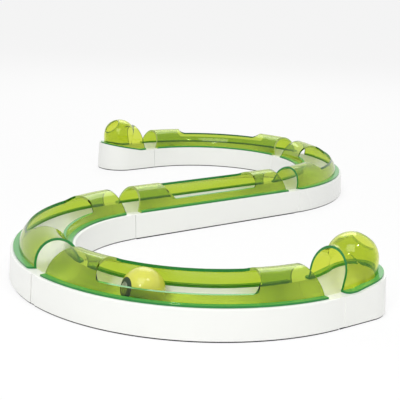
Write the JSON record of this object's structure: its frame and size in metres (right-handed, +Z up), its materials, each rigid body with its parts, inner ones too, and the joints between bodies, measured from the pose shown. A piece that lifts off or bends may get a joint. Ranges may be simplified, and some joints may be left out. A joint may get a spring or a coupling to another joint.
{
  "type": "cat ball track toy",
  "caption": "S-shaped cat ball track: white interlocking trough bases under clip-on translucent lime tunnel covers with paw openings, domed end pockets, and a light-up ball.",
  "frame": {"origin": "on the floor under the middle of the straight piece, which is the middle of the S", "axes": "+X along the straight piece, +Y across it towards the far curve, +Z up from the floor"},
  "size_m": [0.589, 0.666, 0.0683],
  "materials": {
    "white_base": "smooth semi-gloss white",
    "lime_cover": "glossy translucent lime green",
    "lime_shell": "glossy translucent yellow-green",
    "grey_cap": "satin grey-green",
    "clear_window": "milky clear",
    "rubber_seal": "matt",
    "board": "satin circuit board",
    "lamp": "clear resin",
    "switch_can": "polished",
    "cell_steel": "brushed"
  },
  "bodies": {
    "track": {"near_end_base": "white_base", "front_base": "white_base", "left_base": "white_base", "straight_base": "white_base", "rear_base": "white_base", "far_base": "white_base", "far_end_base": "white_base"},
    "near_dome": {"near_dome": "lime_cover"},
    "front_cover": {"front_cover": "lime_cover"},
    "left_cover": {"left_cover": "lime_cover"},
    "straight_cover": {"straight_cover": "lime_cover"},
    "rear_cover": {"rear_cover": "lime_cover"},
    "far_cover": {"far_cover": "lime_cover"},
    "far_dome": {"far_dome": "lime_cover"},
    "ball": {"ball_open_half": "lime_shell", "ball_closed_half": "lime_shell", "ball_cap": "grey_cap", "cap_lens": "clear_window", "cap_seal": "rubber_seal", "lamp_board": "board", "lamp": "lamp", "roll_switch": "switch_can", "button_cells": "cell_steel"}
  },
  "joints": [
    {"name": "near_dome_lift", "type": "slide", "parent": "track", "child": "near_dome", "axis": [0, 0, 1], "range_m": [0, 0.08]},
    {"name": "front_cover_lift", "type": "slide", "parent": "track", "child": "front_cover", "axis": [0, 0, 1], "range_m": [0, 0.08]},
    {"name": "left_cover_lift", "type": "slide", "parent": "track", "child": "left_cover", "axis": [0, 0, 1], "range_m": [0, 0.08]},
    {"name": "straight_cover_lift", "type": "slide", "parent": "track", "child": "straight_cover", "axis": [0, 0, 1], "range_m": [0, 0.08]},
    {"name": "rear_cover_lift", "type": "slide", "parent": "track", "child": "rear_cover", "axis": [0, 0, 1], "range_m": [0, 0.08]},
    {"name": "far_cover_lift", "type": "slide", "parent": "track", "child": "far_cover", "axis": [0, 0, 1], "range_m": [0, 0.08]},
    {"name": "far_dome_lift", "type": "slide", "parent": "track", "child": "far_dome", "axis": [0, 0, 1], "range_m": [0, 0.08]},
    {"name": "ball_travel", "type": "hinge", "parent": "track", "child": "ball", "pos_m": [-0.1125, -0.151, 0], "axis": [0, 0, 1], "range_deg": [-116.5, 48]}
  ]
}
